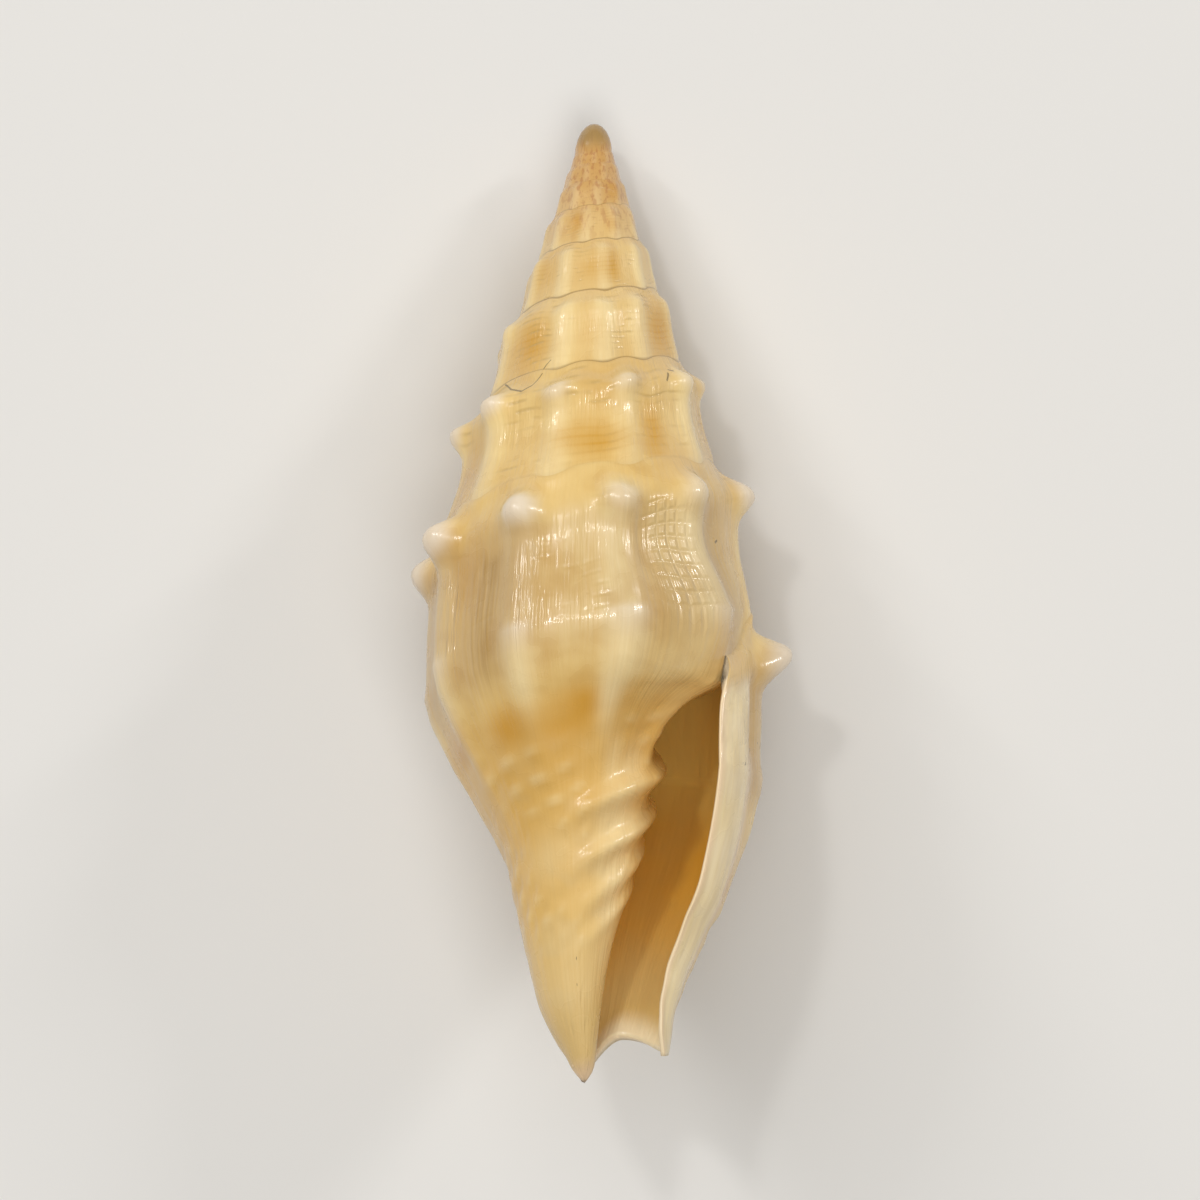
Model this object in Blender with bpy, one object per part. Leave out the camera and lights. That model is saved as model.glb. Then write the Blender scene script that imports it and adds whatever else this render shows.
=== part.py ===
"""Ribbed-miter sea shell, one closed solid lying on its back with the aperture up.

The shell is a tube that grows round an axis. A point of it is given by two numbers:
its turn (0 at the lip, -1 one whorl earlier) and its level along the growing edge
(0 at the suture, 1 at the row of lower nodules, 2 at the end of the siphonal canal).
Heights are counted down the axis from the apex. Lengths are in millimetres here and
become metres when the mesh is made.
"""

import math

import bmesh
import bpy
import mathutils
import numpy as np

# Size
LENGTH = 27.06
MM = 0.001

# Growth
GROWTH = 1.4255  # each whorl is this much larger than the one before
SUTURE = 13.60  # height of the last suture, at SUTURE_TURN
SUTURE_TURN = -0.111
APEX_RADIUS = 0.256
FIRST_TURN = -8.5
LIP_ANGLE = -50.0  # degrees from the front, positive to the left

# Resolution of the faceted solid. The small early whorls have half as many columns and rows.
COLUMNS = 72  # round one whorl
EARLY_TURN = -3.0
SIDE_ROWS = (0.0, 0.10, 0.18, 0.26, 0.38, 0.66, 1.0)
BASE_ROWS = (
    0.0, 0.07, 0.14, 0.21, 0.28, 0.35, 0.42, 0.45, 0.48, 0.51, 0.54, 0.57, 0.60, 0.63, 0.66,
    0.69, 0.78, 0.89, 1.0,
)

# Walls
LIP_WALL = 0.12
DEEP_WALL = 0.24
PASSAGE = 0.5  # how far the hollow winds in from the lip, in turns

# Radius between the ribs at eight levels of the whorl's side, as a share of its height
SIDE_LEVELS = (0.0, 0.1, 0.2, 0.3, 0.45, 0.65, 0.85, 1.0)
SIDE = {
    -9.0: (0.308, 0.326, 0.344, 0.358, 0.374, 0.394, 0.418, 0.439),
    -3.1: (0.315, 0.343, 0.378, 0.396, 0.408, 0.422, 0.443, 0.460),
    -2.6: (0.323, 0.352, 0.390, 0.410, 0.418, 0.431, 0.453, 0.474),
    -2.1: (0.323, 0.344, 0.380, 0.396, 0.398, 0.412, 0.438, 0.460),
    -1.6: (0.333, 0.350, 0.386, 0.400, 0.398, 0.408, 0.434, 0.457),
    -1.111: (0.325, 0.345, 0.374, 0.388, 0.386, 0.391, 0.410, 0.421),
    -0.861: (0.322, 0.338, 0.359, 0.372, 0.370, 0.377, 0.394, 0.399),
    -0.611: (0.321, 0.332, 0.348, 0.358, 0.359, 0.363, 0.364, 0.362),
    -0.361: (0.314, 0.323, 0.336, 0.343, 0.343, 0.345, 0.350, 0.354),
    -0.111: (0.298, 0.304, 0.314, 0.322, 0.321, 0.321, 0.319, 0.319),
    0.0: (0.286, 0.296, 0.306, 0.312, 0.314, 0.316, 0.317, 0.318),
}

# (height, radius) down the base, from the lower nodules to the canal's end
BASE = {
    -1.111: (
        (13.63, 4.30), (14.20, 4.25), (14.91, 4.14), (15.47, 3.94), (15.81, 3.69), (15.94, 3.33),
        (15.98, 2.80), (16.10, 2.50), (16.50, 2.14), (16.98, 1.83), (17.49, 1.61), (18.20, 1.58),
        (18.91, 1.58), (19.87, 1.47), (20.73, 1.33), (21.38, 1.19), (22.32, 0.93), (22.74, 0.76),
        (23.31, 0.60), (24.16, 0.45), (25.16, 0.34), (25.87, 0.31), (26.58, 0.27), (27.06, 0.01),
    ),
    -0.965: (
        (14.35, 4.39), (15.04, 4.36), (15.68, 4.20), (16.16, 3.85), (16.46, 3.34), (16.86, 2.86),
        (17.50, 2.44), (18.38, 2.20), (19.05, 2.05), (19.74, 1.92), (20.42, 1.78), (21.76, 1.45),
        (23.09, 1.07), (24.42, 0.73), (25.10, 0.60), (25.77, 0.47), (26.44, 0.32), (27.06, 0.01),
    ),
    -0.861: (
        (14.85, 4.42), (15.47, 4.38), (16.18, 4.14), (16.89, 3.64), (17.60, 3.17), (18.46, 2.72),
        (19.59, 2.28), (20.73, 1.97), (21.86, 1.67), (23.00, 1.36), (24.13, 1.06), (25.16, 0.78),
        (25.87, 0.57), (26.58, 0.30), (27.06, 0.01),
    ),
    -0.611: (
        (16.07, 4.38), (16.64, 4.25), (17.32, 3.97), (18.00, 3.66), (18.68, 3.27), (19.19, 3.03),
        (19.87, 2.66), (20.39, 2.41), (20.90, 2.21), (21.41, 2.11), (22.09, 1.96), (22.77, 1.82),
        (23.45, 1.66), (24.13, 1.49), (24.99, 1.26), (25.50, 1.02), (26.01, 0.73), (26.35, 0.51),
        (26.69, 0.34), (27.06, 0.01),
    ),
    -0.361: (
        (17.40, 4.67), (18.17, 4.56), (18.88, 4.25), (19.59, 3.83), (20.30, 3.47), (21.01, 3.14),
        (21.86, 2.75), (22.71, 2.39), (23.57, 2.08), (24.42, 1.83), (25.13, 1.61), (25.70, 1.36),
        (26.18, 1.10), (26.75, 0.66),
    ),
    -0.25: (
        (17.94, 4.69), (18.85, 4.50), (19.87, 4.11), (20.56, 3.80), (21.24, 3.47), (21.92, 3.14),
        (22.77, 2.75), (23.62, 2.44), (24.13, 2.28), (24.64, 2.11), (24.99, 1.97), (25.33, 1.83),
        (25.61, 1.69),
    ),
    -0.111: (
        (18.51, 4.60), (18.85, 4.58), (19.19, 4.52), (19.87, 4.42), (20.56, 4.25), (21.24, 4.06),
        (21.92, 3.86), (22.43, 3.63), (22.77, 3.42), (23.28, 3.20), (23.62, 3.07), (24.13, 2.82),
        (24.64, 2.64), (24.99, 2.47), (25.50, 2.38), (25.84, 2.32), (26.10, 2.24),
    ),
    0.0: (
        (18.74, 4.75), (19.19, 4.70), (19.87, 4.56), (20.56, 4.36), (21.24, 4.15), (21.92, 3.94),
        (22.43, 3.70), (22.77, 3.50), (23.28, 3.27), (23.62, 3.10), (24.13, 2.86), (24.64, 2.72),
        (24.99, 2.60), (25.50, 2.52), (25.84, 2.46), (26.46, 2.38),
    ),
}

# Axial ribs, by turn: the last three whorls one by one, then evenly up the spire
RIBS = (
    -0.114, -0.216, -0.317, -0.408, -0.492, -0.575, -0.674, -0.787, -0.894, -0.985,
    -1.106, -1.187, -1.263, -1.340, -1.425, -1.515, -1.606, -1.715, -1.814, -1.908, -2.022,
    -2.125, -2.234, -2.343, -2.453, -2.562, -2.672, -2.806, -2.883, -2.953, -3.056,
) + tuple(-3.056 - 0.1045 * number for number in range(1, 52))
RIB_WIDTH = 0.024
KNOB_WIDTH = 0.0225
KNOB_HEIGHT = 0.56

# Folds on the columella: place down the whorl, height and breadth
FOLDS = ((1.902, 0.55, 0.041), (2.033, 0.36, 0.035), (2.142, 0.21, 0.030), (2.245, 0.11, 0.027))

# Resting place: how the shell leans on its back, in degrees, and how much is flat below
REST_ROLL = 0.0
REST_PITCH = -12.9
REST_CUT = 0.18


def ease(x, start, end):
    t = np.clip((np.asarray(x, float) - start) / (end - start), 0, 1)
    return t * t * (3 - 2 * t)


def hermite(t, wide, y0, y1, s0, s1):
    return (
        (2 * t**3 - 3 * t**2 + 1) * y0
        + (t**3 - 2 * t**2 + t) * wide * s0
        + (3 * t**2 - 2 * t**3) * y1
        + (t**3 - t**2) * wide * s1
    )


def slopes(xs, ys):
    """Slopes of a smooth curve through the columns of ys that never overshoots."""
    step = np.diff(ys, axis=-1) / np.diff(xs)
    slope = np.gradient(ys, xs, axis=-1)
    before = step[..., :-1]
    after = step[..., 1:]
    limit = 3 * np.minimum(abs(before), abs(after))
    inner = slope[..., 1:-1]
    slope[..., 1:-1] = np.where(before * after > 0, np.sign(inner) * np.minimum(abs(inner), limit), 0)
    slope[..., 0] = step[..., 0]
    slope[..., -1] = step[..., -1]
    return slope


def curve(x, xs, ys):
    """Smooth curve through (xs, ys), read at x. The last axis of ys runs along xs."""
    xs = np.asarray(xs, float)
    ys = np.asarray(ys, float)
    slope = slopes(xs, ys)
    x = np.clip(np.asarray(x, float), xs[0], xs[-1])
    k = np.clip(np.searchsorted(xs, x, side="right") - 1, 0, len(xs) - 2)
    wide = xs[k + 1] - xs[k]
    t = (x - xs[k]) / wide
    return hermite(t, wide, ys[..., k], ys[..., k + 1], slope[..., k], slope[..., k + 1])


def along_rows(x, xs, rows):
    """As curve, but column c of x is read on row c of rows."""
    xs = np.asarray(xs, float)
    slope = slopes(xs, rows)
    x = np.clip(x, xs[0], xs[-1])
    k = np.clip(np.searchsorted(xs, x, side="right") - 1, 0, len(xs) - 2)
    wide = xs[k + 1] - xs[k]
    t = (x - xs[k]) / wide
    c = np.arange(len(rows))[:, None]
    return hermite(t, wide, rows[c, k], rows[c, k + 1], slope[c, k], slope[c, k + 1])


def even_steps(points, count):
    """The curve through the points, as count points at even distances."""
    points = np.array(points)
    along = np.r_[0, np.cumsum(np.hypot(*np.diff(points, axis=0).T))]
    return curve(np.linspace(0, along[-1], count), along, points.T)


SIDE_TURNS = np.array(list(SIDE))
SIDE_TABLE = np.array(list(SIDE.values())).T
BASE_TURNS = np.array(list(BASE))
BASE_STEPS = np.linspace(1, 2, 41)
BASE_TABLE = np.stack([even_steps(points, 41) for points in BASE.values()], axis=-1)


def whorl_height(turn):
    return SUTURE * GROWTH ** (np.asarray(turn, float) - SUTURE_TURN)


def low_level(turn):
    """Level where the next whorl's suture lies: it dips over the base just at the lip."""
    return 1 + 0.09 * ease(turn, -1.135, -1.0) * (1 - ease(turn, -1.0, -0.8))


def profile(turn, level, suture=True):
    """(radius, height) of the smooth outer form, without ribs. level has a row for each turn."""
    size = whorl_height(turn)[:, None]
    ratio = curve(turn, SIDE_TURNS, SIDE_TABLE).T
    base = curve(turn, BASE_TURNS, BASE_TABLE)
    base_height = along_rows(level, BASE_STEPS, base[0].T)
    base_radius = along_rows(level, BASE_STEPS, base[1].T)
    low = np.where(turn < -1.111, size[:, 0] * GROWTH, base[0, 0])[:, None]
    radius = APEX_RADIUS + size * along_rows(level, SIDE_LEVELS, ratio)
    height = np.broadcast_to(low, level.shape)
    if suture:
        top = edge(turn - 1)
        height = top[1] + (low - top[1]) * level
        start = APEX_RADIUS + size * ratio[:, :1]
        radius = radius + (top[0] - start) * (1 - ease(level, 0, 0.16))
        radius = radius + 0.004 * size * ease(level, 0, 0.02) * (1 - ease(level, 0.1, 0.3))
    return np.where(level > 1, base_radius, radius), np.where(level > 1, base_height, height)


def edge(turn):
    """(radius, height) of a whorl's lower edge, on which the next whorl's suture lies."""
    level = low_level(turn)[:, None]
    radius, height = profile(turn, level, suture=False)
    out, up = relief(turn, level)
    return radius + out, height - up


def relief(turn, level):
    """(outward, upward) height of the ribs, shoulder knobs, lower nodules and folds."""
    turn = np.asarray(turn)[:, None]
    out = np.zeros(level.shape)
    up = np.zeros(level.shape)
    shoulder = 0.25 + 0.06 * ease(turn, -0.6, -0.111) + 0.04 * ease(turn, -0.1, 0)
    shoulder = shoulder + 0.035 * ease(turn, -1.75, -1.65) * (1 - ease(turn, -1.56, -1.45))
    fade_start = 1 + 0.05 * ease(turn, -1, -0.85)
    fade_end = 1.12 + 0.33 * ease(turn, -1, -0.85)
    side = ease(level, 0.02, 0.25) * (1 - ease((level - fade_start) / (fade_end - fade_start), 0, 1))
    above = np.where(level < shoulder, 0.095 + 0.03 * ease(turn, -1.2, -1.1), 0.115)
    for rib in RIBS:
        away = turn - rib
        size = float(whorl_height(rib)) / 11.36
        late = float(ease(rib, -3.2, -1.2))
        low = 0.07 * float(ease(rib, -1.3, -0.9))
        ridge = np.exp(-((away / RIB_WIDTH) ** 2)) * (0.18 if rib > -0.2 else 0.23)
        reach = (away / KNOB_WIDTH) ** 2 + ((level - shoulder) / above) ** 2
        knob = np.exp(-(reach**1.35)) * late * (KNOB_HEIGHT + (0.14 if rib > -0.2 else 0))
        nodule = np.exp(-((away / 0.022) ** 2) - ((level - 1) / 0.06) ** 2) * low
        out += size * (side * ridge + knob + nodule)
        up += size * knob * 0.25
    place = profile_height_share(turn, level)
    inside = (level > 1) * (1 - ease(turn, -0.97, -0.76))
    for at, high, wide in FOLDS:
        out += inside * high * np.exp(-(((place - at) / wide) ** 2))
    return out, up


def profile_height_share(turn, level):
    """Height on the base over the height of its own whorl, which stays even along a fold."""
    base = curve(turn[:, 0], BASE_TURNS, BASE_TABLE[0])
    return along_rows(level, BASE_STEPS, base.T) / whorl_height(turn)


def lag(turn, level):
    """How far the growing edge lags behind an axial plane, in turns."""
    turn = np.asarray(turn)[:, None]
    low = low_level(turn)
    places = (0, 0.07, 0.2, 0.36, 0.6, 1.05, 1.31, 1.55, 1.76, 1.85, 1.93, 2.0)
    line = curve(level, places, (13, 11, 7, 4, 2, 1.5, 3.5, 4, 5, 7, 10.5, 18))
    lip = line * ease(turn, -0.15 - 0.15 * ease(level, 0.9, 1.1), 0)
    under = 13 * ease(level, 0.5, low) * (1 - ease((level - low) / 0.3, 0, 1))
    near = np.where(turn < -1, ease(turn, -1.15, -1), 1 - ease(turn, -1, -0.85)) * (turn < -0.5)
    return (lip + under * near) / 360


def in_space(turn, level, radius, height):
    """Points with X to the right, Y to the apex and Z to the front, in millimetres."""
    angle = math.radians(LIP_ANGLE) + 2 * math.pi * (np.asarray(turn)[:, None] - lag(turn, level))
    return np.stack([-radius * np.sin(angle), -height, radius * np.cos(angle)], axis=-1)


def outer(turn, level):
    radius, height = profile(turn, level)
    out, up = relief(turn, level)
    return in_space(turn, level, radius + out, height - up)


def inner(turn, level, share):
    """The inside of the last whorl's wall. Deep in, it closes on the columella."""
    step = 0.004
    radius, height = profile(turn, level)
    before = profile(turn, level - step)
    after = profile(turn, level + step)
    run_r = after[0] - before[0]
    run_h = after[1] - before[1]
    long = np.hypot(run_r, run_h) + 1e-9
    wall = (DEEP_WALL - (DEEP_WALL - LIP_WALL) * ease(turn, -0.12, 0))[:, None]
    radius = radius - wall * run_h / long
    height = height + wall * run_r / long
    past = turn - 1
    core_level = inner_base_level(past, share)
    core = profile(past, core_level)
    close = 0.8 * (1 - ease(turn, -PASSAGE, -PASSAGE + 0.2))[:, None]
    radius = radius + (core[0] - radius) * close
    height = height + (core[1] - height) * close
    return in_space(turn, level, radius, height)


def inner_base_level(turn, share):
    start = low_level(turn)[:, None] + 0.05
    return start + (2 - start) * share


def shell_mesh(columns, side_rows, base_rows, early_turn):
    """The whole closed surface as (points, faces)."""
    points = []
    index = {}
    faces = []

    def add(key, position):
        index[key] = len(points)
        points.append(tuple(position))

    side_count = len(side_rows) - 1
    shares = np.array(base_rows)
    base_rows = len(base_rows)
    first = 2 * round(FIRST_TURN * columns / 2)
    early = 2 * round(early_turn * columns / 2)
    deep = round(PASSAGE * columns)
    pole = "tip"

    # outer side of every whorl: its last row is the next whorl's first
    turns = np.arange(first, 1) / columns
    low = low_level(turns)[:, None]
    levels = np.array(side_rows)[None, :] * low
    grid = outer(turns, levels)
    for i, row in zip(range(first, 1), grid):
        for j in range(side_count + 1):
            kept = i >= early or (i % 2 == 0 and j % 2 == 0)
            if kept and (j < side_count or i > -columns):
                add((i, j), row[j])

    def side(i, j):
        return index.get((i + columns, 0) if j == side_count and i <= -columns else (i, j))

    # base of the last whorl, going on inside as the columella
    turns = np.arange(-columns - deep, 1) / columns
    grid = outer(turns, inner_base_level(turns, shares[None, :]))
    for i, row in zip(range(-columns - deep, 1), grid):
        for j in range(base_rows):
            if j < base_rows - 1 or i > -deep:
                add(("base", i, j), row[j])
    add(pole, (0, -LENGTH, 0))

    def base(i, j):
        return index.get(("base", i, j), index[pole])

    # inside of the wall
    turns = np.arange(-deep, 1) / columns
    start = 0.30 + 0.04 * ease(turns, -0.1, 0)[:, None]
    grid = inner(turns, start + (2 - start) * shares[None, :], shares[None, :])
    for i, row in zip(range(-deep, 1), grid):
        for j in range(1, base_rows):
            if j < base_rows - 1 or i > -deep:
                add(("wall", i, j), row[j])

    def wall(i, j):
        return base(i - columns, 0) if j == 0 else index.get(("wall", i, j), index[pole])

    def cell(*corners):
        corners = [c for c in corners if c is not None]
        unique = [c for n, c in enumerate(corners) if c != corners[n - 1]]
        if len(set(unique)) > 2:
            faces.append(unique)

    for i in range(first, early, 2):
        for j in range(0, side_count, 2):
            round_it = ((0, 0), (0, 1), (0, 2), (1, 2), (2, 2), (2, 1), (2, 0), (1, 0))
            cell(*[side(i + a, j + b) for a, b in round_it])
    for i in range(early, 0):
        for j in range(side_count):
            cell(side(i, j), side(i, j + 1), side(i + 1, j + 1), side(i + 1, j))
    for i in range(-columns, 0):
        cell(side(i, side_count), base(i, 0), base(i + 1, 0), side(i + 1, side_count))
    for i in range(-columns - deep, 0):
        for j in range(base_rows - 1):
            cell(base(i, j), base(i, j + 1), base(i + 1, j + 1), base(i + 1, j))
    for i in range(-deep, 0):
        for j in range(base_rows - 1):
            cell(wall(i, j), wall(i + 1, j), wall(i + 1, j + 1), wall(i, j + 1))
    # rim of the notch, then of the lip
    last = base_rows - 1
    for i in range(-deep, 0):
        cell(base(i, last), wall(i, last), wall(i + 1, last), base(i + 1, last))
    out_rim = [side(0, j) for j in range(side_count + 1)] + [base(0, j) for j in range(base_rows)]
    in_rim = [wall(0, j) for j in range(base_rows)]
    stitch(out_rim, in_rim, points, faces)
    # end of the hollow
    for j in range(last):
        cell(wall(-deep, j), wall(-deep, j + 1), base(-columns - deep, j + 1), base(-columns - deep, j))
    # dome of the apex
    loop = [side(first + k, 0) for k in range(0, columns, 2)]
    loop += [side(first, j) for j in range(side_count, 0, -2)]
    ring = loop
    for turned in (65, 40, 18):
        s = math.sin(math.radians(turned))
        c = 1 - math.cos(math.radians(turned))
        now = []
        for v in loop:
            x, y, z = points[v]
            now.append(len(points))
            points.append((x * s, y * c, z * s))
        for n in range(len(loop)):
            cell(now[n - 1], ring[n - 1], ring[n], now[n])
        ring = now
    points.append((0, 0, 0))
    for n in range(len(loop)):
        cell(len(points) - 1, ring[n - 1], ring[n])
    return points, faces


def stitch(one, two, points, faces):
    """Triangles between two rows of points that share their first point's neighbourhood."""
    a = 0
    b = 0

    def far(p, q):
        return math.dist(points[one[p]], points[two[q]])

    while a < len(one) - 1 or b < len(two) - 1:
        if b == len(two) - 1 or (a < len(one) - 1 and far(a + 1, b) <= far(a, b + 1)):
            faces.append([one[a], two[b], one[a + 1]])
            a += 1
        else:
            faces.append([one[a], two[b], two[b + 1]])
            b += 1


def flatten_below(work):
    """Worn flats under the knobs that it lies on, and the origin at the middle of them."""
    low = min(v.co.z for v in work.verts)
    parts = work.verts[:] + work.edges[:] + work.faces[:]
    plane = (0, 0, low + REST_CUT * MM)
    bmesh.ops.bisect_plane(work, geom=parts, plane_co=plane, plane_no=(0, 0, -1), clear_outer=True)
    bmesh.ops.holes_fill(work, edges=[e for e in work.edges if e.is_boundary], sides=0)
    for axis in range(3):
        values = [v.co[axis] for v in work.verts]
        shift = -min(values) if axis == 2 else -(min(values) + max(values)) / 2
        move = [0, 0, 0]
        move[axis] = shift
        bmesh.ops.translate(work, verts=work.verts, vec=move)


def main():
    for thing in list(bpy.data.objects):
        bpy.data.objects.remove(thing, do_unlink=True)
    collection = bpy.data.collections.new("ribbed_miter_shell")
    bpy.context.scene.collection.children.link(collection)

    points, faces = shell_mesh(COLUMNS, SIDE_ROWS, BASE_ROWS, EARLY_TURN)
    mesh = bpy.data.meshes.new("shell")
    work = bmesh.new()
    vertices = [work.verts.new([c * MM for c in point]) for point in points]
    for face in faces:
        work.faces.new([vertices[v] for v in face])
    turned = mathutils.Matrix.Rotation(math.radians(REST_PITCH), 4, "X")
    turned = turned @ mathutils.Matrix.Rotation(math.radians(REST_ROLL), 4, "Y")
    bmesh.ops.transform(work, matrix=turned, verts=work.verts)
    bmesh.ops.recalc_face_normals(work, faces=work.faces)
    flatten_below(work)
    bmesh.ops.triangulate(work, faces=work.faces)
    work.to_mesh(mesh)
    work.free()
    mesh.shade_smooth()
    shell = bpy.data.objects.new("shell", mesh)
    collection.objects.link(shell)
    surface = bpy.data.materials.new("shell")
    surface.use_nodes = True
    look = surface.node_tree.nodes["Principled BSDF"]
    look.inputs["Base Color"].default_value = (0.72, 0.52, 0.28, 1)
    look.inputs["Roughness"].default_value = 0.28
    look.inputs["Metallic"].default_value = 0.0
    mesh.materials.append(surface)


main()
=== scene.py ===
"""Looks of a ribbed-miter sea shell that lies on its back, seen straight from above.

The shell is one surface, wound from its growing edge. A point of it has a turn (0 at the lip,
-1 one whorl earlier) and a level (0 at the suture, 1 at the lower nodules, 2 at the canal's end).
Lengths are in millimetres until the mesh is made. In the shell's own axes X is right, Y points
to the apex and Z to the viewer; heights are counted down the axis from the apex.
"""

import math
from types import SimpleNamespace

import bpy
import mathutils
import numpy as np
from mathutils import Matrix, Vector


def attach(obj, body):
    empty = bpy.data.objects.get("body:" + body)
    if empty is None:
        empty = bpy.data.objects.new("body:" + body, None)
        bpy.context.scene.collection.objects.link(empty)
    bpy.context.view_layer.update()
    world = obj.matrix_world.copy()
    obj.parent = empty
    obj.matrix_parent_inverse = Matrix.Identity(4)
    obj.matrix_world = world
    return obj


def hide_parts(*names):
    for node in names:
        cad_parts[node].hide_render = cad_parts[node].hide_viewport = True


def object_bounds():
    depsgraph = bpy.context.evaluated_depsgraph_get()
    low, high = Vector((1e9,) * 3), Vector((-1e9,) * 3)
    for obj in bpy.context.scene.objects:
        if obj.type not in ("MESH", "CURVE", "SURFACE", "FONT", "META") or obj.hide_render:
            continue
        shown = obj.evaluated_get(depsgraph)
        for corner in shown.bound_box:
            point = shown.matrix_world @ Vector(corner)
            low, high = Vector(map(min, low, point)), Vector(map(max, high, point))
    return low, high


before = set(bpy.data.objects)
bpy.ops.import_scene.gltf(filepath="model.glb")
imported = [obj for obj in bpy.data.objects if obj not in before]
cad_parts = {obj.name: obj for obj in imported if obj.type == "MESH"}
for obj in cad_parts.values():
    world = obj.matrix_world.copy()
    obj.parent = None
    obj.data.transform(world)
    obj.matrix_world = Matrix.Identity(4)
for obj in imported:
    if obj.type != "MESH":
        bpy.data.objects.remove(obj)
cad_low, cad_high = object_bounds()

MM = 0.001

# Growth of the shell, as in the solid that this surface replaces
LENGTH = 27.06
GROWTH = 1.4255  # each whorl is this much larger than the one before
SUTURE = 13.60  # height of the last suture, at SUTURE_TURN
SUTURE_TURN = -0.111
COVERED_TURN = -1.111  # before this turn the next whorl covers the base
APEX_RADIUS = 0.256
FIRST_TURN = -8.5
LIP_ANGLE = -50.0  # degrees from the front, positive to the left
REST_PITCH = -12.9  # how the shell leans on its back
REST_CUT = 0.18  # worn off the knobs that it lies on

# Fineness of the surface. The small early whorls have half as many columns and rows.
COLUMNS = 280
EARLY_TURN = -4.0
SIDE_ROWS = 28
BASE_ROWS = 88
LIP_WALL = 0.12
DEEP_WALL = 0.24
PASSAGE = 0.5  # how far the hollow winds in from the lip, in turns

# Radius between the ribs at eight levels of the whorl's side, as a share of its height
SIDE_LEVELS = (0.0, 0.1, 0.2, 0.3, 0.45, 0.65, 0.85, 1.0)
SIDE = {
    -9.0: (0.308, 0.326, 0.344, 0.358, 0.374, 0.394, 0.418, 0.439),
    -3.1: (0.315, 0.343, 0.378, 0.396, 0.408, 0.422, 0.443, 0.46),
    -2.6: (0.323, 0.352, 0.39, 0.41, 0.418, 0.431, 0.453, 0.474),
    -2.1: (0.323, 0.344, 0.38, 0.396, 0.398, 0.412, 0.438, 0.46),
    -1.6: (0.333, 0.35, 0.386, 0.4, 0.398, 0.408, 0.434, 0.457),
    -1.111: (0.325, 0.345, 0.374, 0.388, 0.386, 0.391, 0.41, 0.421),
    -0.861: (0.322, 0.338, 0.359, 0.372, 0.37, 0.377, 0.394, 0.399),
    -0.611: (0.321, 0.332, 0.348, 0.358, 0.359, 0.363, 0.364, 0.362),
    -0.361: (0.314, 0.323, 0.336, 0.343, 0.343, 0.345, 0.35, 0.354),
    -0.111: (0.298, 0.304, 0.314, 0.322, 0.321, 0.321, 0.319, 0.319),
    0.0: (0.286, 0.296, 0.306, 0.312, 0.314, 0.316, 0.317, 0.318),
}

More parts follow.
